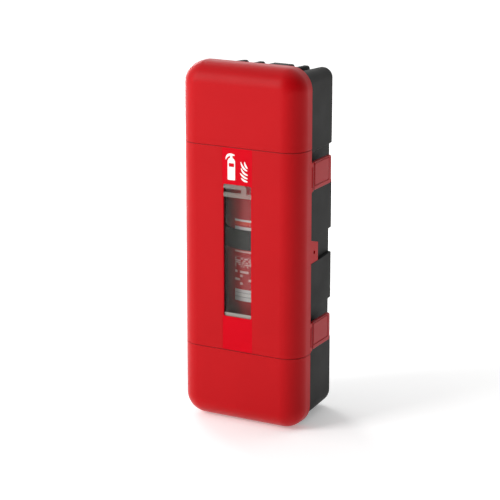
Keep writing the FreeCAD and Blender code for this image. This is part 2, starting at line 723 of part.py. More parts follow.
def latch(z0, z1):
    def plan(points, low, high):
        return polygon([V(x, y, low) for x, y in points]).extrude(V(0, 0, high - low))

    start = LATCH_PIN_Y + LATCH_WIDE_START
    outer0 = latch_face(start)
    outer1 = latch_face(LATCH_END)
    plate = plan([(outer0, start), (outer1, LATCH_END), (outer1 - LATCH_T, LATCH_END),
                  (outer0 - LATCH_T, start)], z0, z1)
    corners = [e for e in plate.Edges if e.BoundBox.YMin > LATCH_END - 0.01 and e.BoundBox.ZLength < 1]
    plate = plate.makeFillet(LATCH_CORNER_R, corners)
    low = z0 + LATCH_EAR + MOVING_GAP
    high = z1 - LATCH_EAR - MOVING_GAP
    face0 = latch_face(LATCH_PIN_Y)
    neck = plan([(face0, LATCH_PIN_Y), (outer0, start + LAP), (outer0 - LATCH_T, start + LAP),
                 (face0 - LATCH_T, LATCH_PIN_Y)], low, high)
    knuckle = rod(V(LATCH_PIN_X, LATCH_PIN_Y, low), Z_AXIS, LATCH_KNUCKLE_R, high - low)
    pad_start = start + LATCH_PAD_EDGE
    pad_end = LATCH_END - LATCH_PAD_BACK
    pad = plan([(latch_face(pad_start) + LATCH_PAD_T, pad_start),
                (latch_face(pad_end) + LATCH_PAD_T, pad_end),
                (latch_face(pad_end) - LAP, pad_end), (latch_face(pad_start) - LAP, pad_start)],
               z0 + LATCH_PAD_FOOT, z1 - LATCH_PAD_EDGE)
    tip = latch_hook_tip()
    hook = box(tip, tip + LATCH_HOOK_REACH + LAP, LATCH_HOOK_Y - LATCH_HOOK_T, LATCH_HOOK_Y,
               z0 + CATCH_END_INSET, z1 - CATCH_END_INSET)
    body = plate.fuse([neck, knuckle, pad, hook])
    bore = rod(V(LATCH_PIN_X, LATCH_PIN_Y, z0), Z_AXIS, LATCH_PIN_R + RUN_FIT, z1 - z0)
    return body.cut(bore).removeSplitter()


def latch_pins():
    return group([rod(V(LATCH_PIN_X, LATCH_PIN_Y, z0), Z_AXIS, LATCH_PIN_R, z1 - z0) for z0, z1 in LATCH_Z])


# ---------------------------------------------------------------- holding the extinguisher

def bottle_axis(z):
    return V(0, BOTTLE_Y, z)


def base_pad():
    floor = CASE_FLOOR + CASE_WALL
    pad = rod(bottle_axis(floor), Z_AXIS, BOTTLE_R - BASE_PAD_INSET, BASE_PAD_T)
    return pad.common(box(-BOTTLE_R, BOTTLE_R, FLANGE_FRONT + FLANGE_GAP, BACK, floor, floor + BASE_PAD_T))


def saddle(z0):
    block = box(-SADDLE_HALF, SADDLE_HALF, CASE_INSIDE_BACK - SADDLE_D, CASE_INSIDE_BACK, z0, z0 + SADDLE_H)
    block = block.cut(rod(bottle_axis(z0 - EPS), Z_AXIS, BOTTLE_R, SADDLE_H + 2 * EPS))
    return block.cut(saddle_screws())


def saddle_screws():
    seat = CASE_INSIDE_BACK - SADDLE_D
    screws = []
    for z0 in SADDLE_Z:
        for side in (-1, 1):
            start = V(side * SADDLE_SCREW_X, seat, z0 + SADDLE_H / 2)
            head_start = start - Y_AXIS * SADDLE_SCREW_HEAD_T
            head = rod(head_start, Y_AXIS, SADDLE_SCREW_HEAD_R, SADDLE_SCREW_HEAD_T)
            shank = rod(start, Y_AXIS, SADDLE_SCREW_R, SADDLE_D + CASE_WALL - SADDLE_SCREW_SKIN)
            screws.append(head.fuse(shank).removeSplitter())
    return group(screws)


def retaining_strap():
    inner = BOTTLE_R + STRAP_GAP
    outer = inner + STRAP_T
    z0, z1 = STRAP_Z
    band = tube(bottle_axis(z0), Z_AXIS, outer, inner, z1 - z0)
    front = band.common(box(-outer, outer, BOTTLE_Y - outer, BOTTLE_Y, z0, z1))
    runs = [box(inner, outer, BOTTLE_Y, CASE_INSIDE_BACK - ANCHOR_D, z0, z1),
            box(-outer, -inner, BOTTLE_Y, CASE_INSIDE_BACK - ANCHOR_D, z0, z1)]
    return front.fuse(runs).removeSplitter()


def strap_anchors():
    inner = BOTTLE_R + STRAP_GAP - ANCHOR_IN
    outer = BOTTLE_R + STRAP_GAP + STRAP_T + ANCHOR_OUT
    z0, z1 = STRAP_Z
    block = box(inner, outer, CASE_INSIDE_BACK - ANCHOR_D, CASE_INSIDE_BACK,
                z0 - ANCHOR_OVER, z1 + ANCHOR_OVER)
    return group([block, mirror_x(block)])


def turn_to_buckle(shape):
    """Places a piece drawn at the strap's front, on the buckle's side of the bottle."""
    shape.rotate(bottle_axis(0), Z_AXIS, BUCKLE_ANGLE)
    return shape


def buckle_levels():
    base = BOTTLE_Y - (BOTTLE_R + STRAP_GAP + STRAP_T)
    hinge = base - BUCKLE_BASE - BUCKLE_LIFT
    return base, hinge


def buckle_frame():
    base, hinge = buckle_levels()
    z0 = STRAP_Z[0] - BUCKLE_CHEEK
    z1 = STRAP_Z[1] + BUCKLE_CHEEK
    half = BUCKLE_L / 2
    plate = box(-half, half, base - BUCKLE_BASE, base + BUCKLE_HORN, z0, z1)
    plate = plate.cut(rod(bottle_axis(z0 - EPS), Z_AXIS, BOTTLE_R + STRAP_GAP + STRAP_T, z1 - z0 + 2 * EPS))
    cheeks = []
    for low in (z0, z1 - BUCKLE_CHEEK):
        cheeks.append(box(-half, -half + 4 * BUCKLE_PIN_R, hinge - 2 * BUCKLE_PIN_R, base - LAP,
                          low, low + BUCKLE_CHEEK))
    frame = plate.fuse(cheeks)
    pin = rod(V(BUCKLE_PIN_X, hinge, z0), Z_AXIS, BUCKLE_PIN_R, z1 - z0)
    return turn_to_buckle(frame.cut(pin).removeSplitter())


def buckle_pin():
    hinge = buckle_levels()[1]
    z0 = STRAP_Z[0] - BUCKLE_CHEEK
    z1 = STRAP_Z[1] + BUCKLE_CHEEK
    return turn_to_buckle(rod(V(BUCKLE_PIN_X, hinge, z0), Z_AXIS, BUCKLE_PIN_R, z1 - z0))


def buckle_lever():
    hinge = buckle_levels()[1]
    z0 = STRAP_Z[0] + MOVING_GAP
    z1 = STRAP_Z[1] - MOVING_GAP
    knuckle = rod(V(BUCKLE_PIN_X, hinge, z0), Z_AXIS, BUCKLE_KNUCKLE_R, z1 - z0)
    half = BUCKLE_LEVER_T / 2
    plate = box(BUCKLE_PIN_X, BUCKLE_L / 2 + BUCKLE_LEVER_OVER, hinge - half, hinge + half, z0, z1)
    corners = [e for e in edges_along(plate, Y_AXIS) if e.BoundBox.XMin > 0]
    plate = plate.makeFillet(BUCKLE_LEVER_CORNER, corners)
    bore = rod(V(BUCKLE_PIN_X, hinge, z0 - EPS), Z_AXIS, BUCKLE_PIN_R + RUN_FIT, z1 - z0 + 2 * EPS)
    return turn_to_buckle(knuckle.fuse(plate).cut(bore).removeSplitter())


# ---------------------------------------------------------------- extinguisher

def bottle_profile(inset):
    """Radius and height points of the pressure vessel, moved in by inset."""
    foot = BOTTLE_R - SKIRT_WALL
    points = [(0, BOTTLE_Z0 + inset), (foot - FOOT_ROUND, BOTTLE_Z0 + inset),
              (foot - inset, BOTTLE_Z0 + FOOT_ROUND), (foot - inset, SKIRT_Z0 + SKIRT_H),
              (BOTTLE_R - inset, SKIRT_Z0 + SKIRT_H + FOOT_STEP), (BOTTLE_R - inset, SHOULDER_Z)]
    for k in range(1, SHOULDER_STEPS + 1):
        angle = math.pi / 2 * k / SHOULDER_STEPS
        radius = NECK_R + (BOTTLE_R - NECK_R) * math.cos(angle) - inset
        points.append((radius, SHOULDER_Z + (SHOULDER_RISE - inset) * math.sin(angle)))
    return points


def cylinder():
    outer = revolve_z(bottle_profile(0) + [(NECK_R, NECK_TOP), (0, NECK_TOP)], bottle_axis(0))
    inner = revolve_z(bottle_profile(BOTTLE_WALL) + [(0, SHOULDER_TOP - BOTTLE_WALL)], bottle_axis(0))
    neck_bore = rod(bottle_axis(VALVE_FOOT), Z_AXIS, VALVE_R, NECK_TOP - VALVE_FOOT + EPS)
    return outer.cut([inner, neck_bore])


def powder_charge():
    inside = revolve_z(bottle_profile(BOTTLE_WALL) + [(0, SHOULDER_TOP - BOTTLE_WALL)], bottle_axis(0))
    fill = inside.common(rod(bottle_axis(0), Z_AXIS, BOTTLE_R, POWDER_TOP))
    return fill.cut(rod(bottle_axis(TUBE_FOOT), Z_AXIS, TUBE_R, POWDER_TOP))


def dip_tube():
    return tube(bottle_axis(TUBE_FOOT), Z_AXIS, TUBE_R, TUBE_R - TUBE_WALL, VALVE_FOOT - TUBE_FOOT)


def base_skirt():
    top = SKIRT_Z0 + SKIRT_H
    foot = BOTTLE_R - SKIRT_WALL
    rz = [(foot, SKIRT_Z0), (BOTTLE_R, SKIRT_Z0), (BOTTLE_R, top), (foot, top), (foot, BOTTLE_Z0),
          (foot - FOOT_ROUND, BOTTLE_Z0), (foot - FOOT_ROUND, BOTTLE_Z0 - SKIRT_LIP),
          (foot, BOTTLE_Z0 - SKIRT_LIP)]
    skirt = revolve_z(rz, bottle_axis(0))
    return skirt.cut(revolve_z(bottle_profile(0) + [(0, SHOULDER_TOP)], bottle_axis(0)))


def cylinder_label():
    z0, z1 = STICKER_Z
    face = polygon([V(BOTTLE_R, 0, z0), V(BOTTLE_R + STICKER_T, 0, z0), V(BOTTLE_R + STICKER_T, 0, z1),
                    V(BOTTLE_R, 0, z1)])
    sheet = face.revolve(V(0, 0, 0), Z_AXIS, STICKER_ANGLE)
    sheet.rotate(V(0, 0, 0), Z_AXIS, -90 - STICKER_ANGLE / 2)
    sheet.translate(bottle_axis(0))
    return sheet


def neck_ring():
    ring = tube(bottle_axis(NECK_RING_Z), Z_AXIS, NECK_RING_R, NECK_R, NECK_RING_T)
    outer_edges = [e for e in ring.Edges if e.BoundBox.XLength > 2 * NECK_RING_R - EPS]
    return ring.makeChamfer(NECK_RING_CHAMFER, outer_edges)


def valve_body():
    inside = HANDLE_OUT - SHEET
    post = rod(bottle_axis(VALVE_FOOT), Z_AXIS, VALVE_R, VALVE_WAIST_Z - VALVE_FOOT)
    waist = rod(bottle_axis(VALVE_WAIST_Z), Z_AXIS, inside, VALVE_TOP - VALVE_WAIST_Z)
    nut = rod(bottle_axis(NECK_TOP), Z_AXIS, VALVE_NUT_R, VALVE_NUT_H)
    block = box(-VALVE_BLOCK_REACH, VALVE_R, BOTTLE_Y - inside, BOTTLE_Y + inside, HANDLE_Z, VALVE_TOP)
    body = post.fuse([waist, nut, block])
    seat = rod(V(0, gauge_back(), VALVE_MID), Y_AXIS, GAUGE_STUB, GAUGE_STUB_L)
    outlet = rod(V(OUTLET_ROOT_X, BOTTLE_Y, VALVE_MID), X_AXIS, OUTLET_STUB_R, VALVE_R)
    inlet_depth = VALVE_WAIST_Z - VALVE_FOOT
    bores = [rod(bottle_axis(VALVE_FOOT - EPS), Z_AXIS, VALVE_BORE_R, inlet_depth),
             rod(bottle_axis(VALVE_FOOT + inlet_depth - LAP), Z_AXIS, STEM_R + RUN_FIT, VALVE_TOP),
             rod(V(0, BOTTLE_Y, STEM_FOOT), X_AXIS, OUTLET_BORE_R, VALVE_R + LAP),
             rod(V(HANDLE_RIVET_X, BOTTLE_Y - HANDLE_OUT, HANDLE_RIVET_Z), Y_AXIS, RIVET_R, 2 * HANDLE_OUT)]
    return body.cut(bores + [seat, outlet]).removeSplitter()


def hose_outlet():
    start = V(OUTLET_ROOT_X, BOTTLE_Y, VALVE_MID)
    length = VALVE_R + OUTLET_L - OUTLET_ROOT_X
    stub = rod(start, X_AXIS, OUTLET_STUB_R, length)
    collar = rod(V(VALVE_R, BOTTLE_Y, VALVE_MID), X_AXIS, OUTLET_COLLAR_R, OUTLET_COLLAR_T)
    first = VALVE_R + OUTLET_COLLAR_T + THREAD_W
    thread = [rod(V(first + THREAD_PITCH * k, BOTTLE_Y, VALVE_MID), X_AXIS, OUTLET_R, THREAD_W)
              for k in range(THREAD_TURNS)]
    clear = rod(V(0, BOTTLE_Y, SHOULDER_TOP), Z_AXIS, VALVE_R, VALVE_TOP)
    body = stub.fuse([collar.cut(clear)] + thread)
    return body.cut(rod(start - X_AXIS * EPS, X_AXIS, OUTLET_BORE_R, length + 2 * EPS)).removeSplitter()


def valve_stem():
    stem = rod(bottle_axis(STEM_FOOT), Z_AXIS, STEM_R, STEM_TOP - STEM_FOOT)
    collar_low, collar_high = STEM_COLLAR_Z
    collar = rod(bottle_axis(collar_low), Z_AXIS, STEM_COLLAR_R, collar_high - collar_low)
    return stem.fuse(collar).removeSplitter()


def stem_spring():
    low = VALVE_TOP
    return tube(bottle_axis(low), Z_AXIS, SPRING_R, SPRING_BORE_R, STEM_COLLAR_Z[0] - low)


def cheek(points, y_outer, side):
    """One side plate of the handle or the lever, from outline points in X and Z."""
    y0 = BOTTLE_Y + side * y_outer
    y1 = BOTTLE_Y + side * (y_outer - SHEET)
    return prism_y(points, min(y0, y1), max(y0, y1))


def across_handle(x, z, radius):
    """Rod through both cheeks of the handle, for a hole."""
    return rod(V(x, BOTTLE_Y - HANDLE_OUT - EPS, z), Y_AXIS, radius, 2 * (HANDLE_OUT + EPS))


def carry_handle():
    z = HANDLE_Z
    tip = -HANDLE_TIP
    low = z - GRIP_DROP
    outline = [(VALVE_R, z), (VALVE_R + 4, PIVOT_Z - 2), (PIVOT_X + 5, PIVOT_Z + CROWN),
               (PIVOT_X - 5, PIVOT_Z + CROWN), (GRIP_START + 2, PIVOT_Z), (SAFETY_X - 1, PIVOT_Z + 5),
               (SAFETY_X - CROWN, PIVOT_Z + 2), (NECK_X, z + GRIP_DROP), (NECK_X, z)]
    grip = prism_y([(GRIP_START, z), (tip, low), (tip - 3, low - CURL), (tip - 1, low - CURL),
                    (tip + 1.5, low - SHEET), (GRIP_START, z - SHEET)],
                   BOTTLE_Y - HANDLE_OUT, BOTTLE_Y + HANDLE_OUT)
    lip = [(GRIP_START, z - SHEET), (GRIP_START, z + LAP), (NECK_X, z + LAP), (tip + 2, low),
           (tip + 2, low - GRIP_LIP), (GRIP_START - 8, z - GRIP_LIP - LAP)]
    sides = [cheek(points, HANDLE_OUT, side) for points in (outline, lip) for side in (-1, 1)]
    holes = [across_handle(PIVOT_X, PIVOT_Z, RIVET_R),
             across_handle(HANDLE_RIVET_X, HANDLE_RIVET_Z, RIVET_R),
             across_handle(SAFETY_X, PIVOT_Z, SAFETY_R + SAFETY_FIT)]
    return grip.fuse(sides).cut(holes).removeSplitter()


def lever_slot():
    """Arc slot that lets the lever swing past the safety pin."""
    radius = PIVOT_X - SAFETY_X
    half = SAFETY_R + MOVING_GAP
    y0 = BOTTLE_Y - HANDLE_OUT
    y1 = BOTTLE_Y + HANDLE_OUT
    band = polygon([V(PIVOT_X - radius - half, y0, PIVOT_Z), V(PIVOT_X - radius + half, y0, PIVOT_Z),
                    V(PIVOT_X - radius + half, y1, PIVOT_Z), V(PIVOT_X - radius - half, y1, PIVOT_Z)])
    travel = LEVER_TRAVEL + 1
    sweep = band.revolve(V(PIVOT_X, 0, PIVOT_Z), Y_AXIS, travel)
    first = rod(V(SAFETY_X, y0, PIVOT_Z), Y_AXIS, half, y1 - y0)
    last = first.copy()
    last.rotate(V(PIVOT_X, 0, PIVOT_Z), Y_AXIS, travel)
    return [sweep, first, last]


def lever_line(x):
    """Height of the lever's top at a place along it."""
    return PIVOT_Z + LEVER_CROWN + (PIVOT_X - x) * math.tan(math.radians(LEVER_SLOPE))


def squeeze_lever():
    root = PIVOT_X + CROWN
    neck = SAFETY_X - 14
    tip = -HANDLE_TIP
    foot = PIVOT_Z - LEVER_FOOT
    outline = [(root, foot + 0.5), (root, lever_line(root)), (neck, lever_line(neck)),
               (neck, lever_line(neck) - CROWN), (SAFETY_X - 7, foot), (PIVOT_X - CROWN, foot)]
    grip = prism_y([(root, lever_line(root)), (tip, lever_line(tip)), (tip - 5, lever_line(tip) - 4),
                    (tip - 3.5, lever_line(tip) - 5.5), (tip + 0.5, lever_line(tip) - SHEET),
                    (root, lever_line(root) - SHEET)],
                   BOTTLE_Y - LEVER_OUT, BOTTLE_Y + LEVER_OUT)
    lip = [(neck + 4, lever_line(neck + 4)), (tip + 2, lever_line(tip + 2)),
           (tip + 2, lever_line(tip + 2) - LEVER_LIP), (neck + 4, lever_line(neck + 4) - LEVER_LIP - 3)]
    sides = [cheek(points, LEVER_OUT, side) for points in (outline, lip) for side in (-1, 1)]
    bore = across_handle(PIVOT_X, PIVOT_Z, RIVET_R + RUN_FIT)
    return grip.fuse(sides).cut(lever_slot() + [bore]).removeSplitter()


def rivet(x, z):
    """Rivet across the handle, with a low head on each side."""
    start = V(x, BOTTLE_Y - HANDLE_OUT - RIVET_HEAD_T, z)
    shank = rod(start, Y_AXIS, RIVET_R, 2 * (HANDLE_OUT + RIVET_HEAD_T))
    heads = [rod(start, Y_AXIS, RIVET_HEAD_R, RIVET_HEAD_T),
             rod(V(x, BOTTLE_Y + HANDLE_OUT, z), Y_AXIS, RIVET_HEAD_R, RIVET_HEAD_T)]
    return shank.fuse(heads).removeSplitter()


def safety_head_y():
    return BOTTLE_Y - HANDLE_OUT - SAFETY_STANDOFF


def safety_pin():
    y = safety_head_y()
    length = BOTTLE_Y + HANDLE_OUT + SAFETY_TAIL - y
    pin = rod(V(SAFETY_X, y, PIVOT_Z), Y_AXIS, SAFETY_R, length)
    half = SAFETY_HEAD_HALF
    head = box(SAFETY_X - SAFETY_HEAD / 2, SAFETY_X + SAFETY_HEAD / 2, y - half, y + half,
               PIVOT_Z - half, PIVOT_Z + half)
    eye = rod(V(SAFETY_X - SAFETY_HEAD, y, PIVOT_Z), X_AXIS, RING_HOLE_R, 2 * SAFETY_HEAD)
    return pin.fuse(head).cut(eye).removeSplitter()


def pull_ring():
    centre = V(SAFETY_X, safety_head_y(), PIVOT_Z - RING_R)
    return Part.makeTorus(RING_R, RING_WIRE_R, centre, Y_AXIS)


def gauge_back():
    return BOTTLE_Y - HANDLE_OUT - GAUGE_STANDOFF


def gauge_body():
    back = gauge_back()
    front = back - GAUGE_D
    cup = rod(V(0, front, VALVE_MID), Y_AXIS, GAUGE_R, GAUGE_D)
    pocket = rod(V(0, front - EPS, VALVE_MID), Y_AXIS, GAUGE_R - GAUGE_WALL, GAUGE_D - GAUGE_FLOOR + EPS)
    stub = rod(V(0, back, VALVE_MID), Y_AXIS, GAUGE_STUB, GAUGE_STUB_L)
    clear = rod(bottle_axis(SHOULDER_TOP), Z_AXIS, 2 * STEM_R, VALVE_TOP)
    return cup.fuse(stub).cut([pocket, clear]).removeSplitter()


def gauge_face():
    y = gauge_back() - GAUGE_FLOOR
    disc = rod(V(0, y - DIAL_T, VALVE_MID), Y_AXIS, GAUGE_R - GAUGE_WALL, DIAL_T)
    spindle = rod(V(0, y - GAUGE_SPINDLE_L, VALVE_MID), Y_AXIS, GAUGE_SPINDLE_R, GAUGE_SPINDLE_L)
    return disc.fuse(spindle).removeSplitter()


def gauge_needle():
    y = gauge_back() - GAUGE_FLOOR - NEEDLE_STANDOFF
    hub = rod(V(0, y, VALVE_MID), Y_AXIS, NEEDLE_HUB_R, NEEDLE_T)
    tail = VALVE_MID - NEEDLE_TAIL
    point = VALVE_MID + NEEDLE_L
    hand = prism_y([(-NEEDLE_HALF[0], tail), (NEEDLE_HALF[0], tail), (NEEDLE_HALF[1], point),
                    (-NEEDLE_HALF[1], point)], y, y + NEEDLE_T)
    bore = rod(V(0, y - EPS, VALVE_MID), Y_AXIS, GAUGE_SPINDLE_R + RUN_FIT, NEEDLE_T + 2 * EPS)
    return hub.fuse(hand).cut(bore).removeSplitter()


def gauge_lens():
    y = gauge_back() - GAUGE_D
    return rod(V(0, y, VALVE_MID), Y_AXIS, GAUGE_R - GAUGE_WALL, LENS_T)


PIECES = {
    "rear_shell": rear_shell,
    "hinge_pins": hinge_pins,
    "upper_cover": upper_cover,
    "middle_cover": middle_cover,
    "lower_cover": lower_cover,
    "cover_screws": cover_screws,
    "window_pane": window_pane,
    "window_retainer": window_retainer,
    "pane_screws": pane_screws,
    "front_label": front_label,
    "extinguisher_sign": extinguisher_sign,
    "flame_sign": flame_sign,
    "latch_pins": latch_pins,
    "upper_latch": lambda: latch(*LATCH_Z[1]),
    "lower_latch": lambda: latch(*LATCH_Z[0]),
    "base_pad": base_pad,
    "lower_saddle": lambda: saddle(SADDLE_Z[0]),
    "upper_saddle": lambda: saddle(SADDLE_Z[1]),
    "saddle_screws": saddle_screws,
    "strap_anchors": strap_anchors,
    "retaining_strap": retaining_strap,
    "buckle_frame": buckle_frame,
    "buckle_pin": buckle_pin,
    "buckle_lever": buckle_lever,
    "cylinder": cylinder,
    "powder_charge": powder_charge,
    "dip_tube": dip_tube,
    "base_skirt": base_skirt,
    "cylinder_label": cylinder_label,
    "neck_ring": neck_ring,
    "valve_body": valve_body,
    "hose_outlet": hose_outlet,
    "valve_stem": valve_stem,
    "stem_spring": stem_spring,
    "carry_handle": carry_handle,
    "squeeze_lever": squeeze_lever,
    "lever_rivet": lambda: rivet(PIVOT_X, PIVOT_Z),
    "handle_rivet": lambda: rivet(HANDLE_RIVET_X, HANDLE_RIVET_Z),
    "safety_pin": safety_pin,
    "pull_ring": pull_ring,
    "gauge_body": gauge_body,
    "gauge_face": gauge_face,
    "gauge_needle": gauge_needle,
    "gauge_lens": gauge_lens,
}

os.makedirs("parts", exist_ok=True)
for name, make in PIECES.items():
    piece = make()
    piece.exportStep("parts/" + name + ".step")
    print(name, len(piece.Solids), round(piece.Volume), piece.isValid())
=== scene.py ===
import math

import bmesh
import bpy
from mathutils import Matrix, Vector


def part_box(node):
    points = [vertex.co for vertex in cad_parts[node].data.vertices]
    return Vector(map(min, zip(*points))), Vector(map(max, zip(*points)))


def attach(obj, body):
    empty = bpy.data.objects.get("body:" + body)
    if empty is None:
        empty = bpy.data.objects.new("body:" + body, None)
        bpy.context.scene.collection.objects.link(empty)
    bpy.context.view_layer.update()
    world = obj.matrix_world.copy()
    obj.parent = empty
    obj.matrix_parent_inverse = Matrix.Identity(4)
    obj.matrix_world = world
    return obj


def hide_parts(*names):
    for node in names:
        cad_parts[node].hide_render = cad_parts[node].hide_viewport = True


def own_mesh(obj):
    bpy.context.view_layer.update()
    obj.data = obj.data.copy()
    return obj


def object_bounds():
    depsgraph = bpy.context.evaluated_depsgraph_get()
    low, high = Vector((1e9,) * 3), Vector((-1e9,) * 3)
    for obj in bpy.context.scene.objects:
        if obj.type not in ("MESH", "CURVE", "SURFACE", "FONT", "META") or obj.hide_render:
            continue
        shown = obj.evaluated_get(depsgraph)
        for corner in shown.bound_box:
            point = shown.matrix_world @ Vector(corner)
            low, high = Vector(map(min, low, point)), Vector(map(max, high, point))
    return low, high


# Finishes, finished shapes and studio for a wall and vehicle cabinet that holds a fire extinguisher.

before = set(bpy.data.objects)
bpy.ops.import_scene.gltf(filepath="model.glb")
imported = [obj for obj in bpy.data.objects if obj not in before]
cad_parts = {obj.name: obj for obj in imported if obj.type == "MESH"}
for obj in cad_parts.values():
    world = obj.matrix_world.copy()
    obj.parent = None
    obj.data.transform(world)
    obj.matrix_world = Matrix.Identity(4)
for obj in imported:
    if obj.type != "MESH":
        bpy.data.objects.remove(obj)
cad_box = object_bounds()

MM = 0.001


def box_mm(node):
    """Lowest and highest corner of a node, in millimetres."""
    low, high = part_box(node)
    return low / MM, high / MM


# Camera, in metres and degrees
CAMERA_PLACE = (1.687, -3.036, 1.228)
CAMERA_YAW = 29.4
CAMERA_TILT = 14.9
CAMERA_LENS = 144.0

# Light and paper, in metres and watts
AIR = 0.98                       # strength of the light from all round
SHADE_AIR = 0.01                 # and from the dark side of the studio
SHADE_SIDE = (0.8, -0.6, 0.05)
SHADE_EDGE = (-0.1, 0.62)        # where the shade starts and is full, as a cosine from its side
KEY_LIGHT = ((-1.9, -2.6, 1.9), (0, 0, 0.3), (1.6, 2.2), 78)       # place, aim, size and power
RIM_LIGHT = ((-2.2, 1.7, 0.9), (0, 0, 0.35), (0.9, 2.4), 45)
PAPER_GLOW = 0.28
PAPER_FAR_GLOW = 0.5
GLOW_NEAR = 0.35                 # from the part's middle
GLOW_FAR = 1.6
FLOOR_REACH = 40.0
FLOOR_DROP = 0.2 * MM

GLOSS_SPREAD = 0.05              # how far a moulded face's roughness drifts

# Meshes
MERGE = 0.002 * MM
FLAT = math.radians(0.5)         # triangles closer than this are one face
SQUARE = math.radians(60.0)      # how far from square the corners of a joined face may be
EDGE_ANGLE = math.radians(32.0)  # edges sharper than this are rounded
EDGE_SEGMENTS = 2

# Bottle and its print, in millimetres
bottle_low, bottle_high = box_mm("cylinder")
sticker_low, sticker_high = box_mm("cylinder_label")
dial_low, dial_high = box_mm("gauge_face")
BOTTLE_R = bottle_high.x
BOTTLE_Y = (bottle_low.y + bottle_high.y) / 2
BOTTLE_FOOT = ((0, 29), (50, 29), (58.5, 29.6), (63.5, 32), (66, 36), (66.5, 39), (66.5, 45), (68.4, 46.6),
               (69.6, 48.2), (BOTTLE_R, 50))                       # radius and height
BOTTLE_STEPS = 96
BOTTLE_EDGE = 0.6
SHOULDER_Z = 440.0
SHOULDER_RISE = 52.0
SHOULDER_STEPS = 24
NECK_R = 17.0
NECK_TOP = bottle_high.z
NECK_BORE = (14.0, 486.0)        # radius, and height of its foot
STICKER_FOOT = sticker_low.z
STICKER_HEAD = sticker_high.z
STICKER_RED = "#B3121C"
STICKER_BANDS = ((222.0, "#D6D3D0"), (228.0, "#A9A6A4"), (230.0, "#D6D3D0"), (236.0, "#B0ACAA"),
                 (238.0, "#D6D3D0"), (243.0, STICKER_RED), (311.5, "#D9A8A4"), (314.5, STICKER_RED),
                 (352.5, "#D8D0CC"), (358.0, STICKER_RED), (361.0, "#D4341C"), (368.0, "#D8D0CC"),
                 (371.5, STICKER_RED))                              # foot of each band
PRINT_EDGE = -24.0               # left edge of the printed part, along the film
SMALL_PRINT = ((2.6, 3.6), 0.62, 284.0, 303.0)      # block, share that is inked, lowest and highest
LARGE_PRINT = ((6.0, 7.2), 0.42, 252.0, 279.0)
PRINT_LINE = 0.6                 # height of a block as a share of its row

# Gauge
DIAL_Z = (dial_low.z + dial_high.z) / 2
DIAL_RING = (8.5, 12.5)          # inner and outer radius of the coloured ring
DIAL_PALE = "#E8E8E4"
DIAL_SECTORS = ((0.2, "#C21E22"), (0.42, "#2E8B3D"), (0.62, "#D9B21E"), (0.8, DIAL_PALE))
DIAL_STEP = math.radians(15)
DIAL_TICK = math.radians(2)

# Window
PANE_FRONT = -85.1               # the bars, which carry a painted reflection, stand in front of this
PALE_SILL = 206.0               # the pane is painted paler and less clear below this height
PALE_EDGE = 26.6                # and to the right of this

# Latches
LATCH_FACE_X = 113.5             # outer face of the plate, level with the pin
LATCH_PIN_Y = -24.0
LATCH_LEAN = 0.05                # how much it leans in for each step back
LATCH_RIM_T = 1.2
LATCH_RIM_EDGE = 0.4
LATCH_RIM_OUTER = (-15.9, 55.4, 0.6, 0.6, 4.4)      # front, back, insets from foot and head, corner radius
LATCH_RIM_INNER = (-14.3, 46.2, 7.7, 2.1, 1.5)
LATCH_CORNER_STEPS = 6

# Return spring under the stem's collar
spring_low, spring_high = box_mm("stem_spring")
SPRING_FOOT = spring_low.z
SPRING_HEAD = spring_high.z
SPRING_WIRE = 0.75               # radius of the wire
SPRING_WIRE_SIDES = 10
SPRING_R = 5.0                   # from the stem's axis to the middle of the wire
SPRING_TURNS = 4
SPRING_TURN_STEPS = 24


# ---------------------------------------------------------------- small helpers

def linear(code):
    """A hex colour as linear red, green, blue and alpha."""
    parts = [int(code[k:k + 2], 16) / 255 for k in (1, 3, 5)]
    return tuple(p / 12.92 if p <= 0.04045 else ((p + 0.055) / 1.055) ** 2.4 for p in parts) + (1.0,)


def add(tree, kind, inputs=None, **settings):
    """A node with its settings, its values and its links."""
    node = tree.nodes.new(kind)
    for name, value in settings.items():
        setattr(node, name, value)
    for name, value in (inputs or {}).items():
        if isinstance(value, bpy.types.NodeSocket):
            tree.links.new(value, node.inputs[name])
        else:
            node.inputs[name].default_value = value
    return node


def start_material(name):
    """A new material with its shader and the piece's own coordinates."""
    material = bpy.data.materials.new(name)
    material.use_nodes = True
    tree = material.node_tree
    tree.nodes.clear()
    shader = add(tree, "ShaderNodeBsdfPrincipled")
    add(tree, "ShaderNodeOutputMaterial", {"Surface": shader.outputs["BSDF"]})
    place = add(tree, "ShaderNodeTexCoord").outputs["Object"]
    return material, tree, shader, place


def per_metre(size_mm):
    """Texture scale for a feature of the given size."""
    return 1.0 / (size_mm * MM)


def calc(tree, operation, first, second=0.0):
    """One step of arithmetic between sockets or numbers."""
    return add(tree, "ShaderNodeMath", {0: first, 1: second}, operation=operation).outputs[0]


def noise(tree, place, size_mm, detail):
    inputs = {"Vector": place, "Scale": per_metre(size_mm), "Detail": detail}
    return add(tree, "ShaderNodeTexNoise", inputs).outputs["Fac"]


def spread(tree, value, start, end, low, high):
    """A value moved from one span of numbers to another."""
    inputs = {"Value": value, "From Min": start, "From Max": end, "To Min": low, "To Max": high}
    return add(tree, "ShaderNodeMapRange", inputs).outputs["Result"]


def emboss(tree, shader, height, strength, depth_mm):
    inputs = {"Height": height, "Strength": strength, "Distance": depth_mm * MM}
    tree.links.new(add(tree, "ShaderNodeBump", inputs).outputs["Normal"], shader.inputs["Normal"])


def blend_colours(tree, share, first, second):
    mix = add(tree, "ShaderNodeMix", {0: share, 6: first, 7: second}, data_type="RGBA")
    return mix.outputs[2]


# ---------------------------------------------------------------- materials

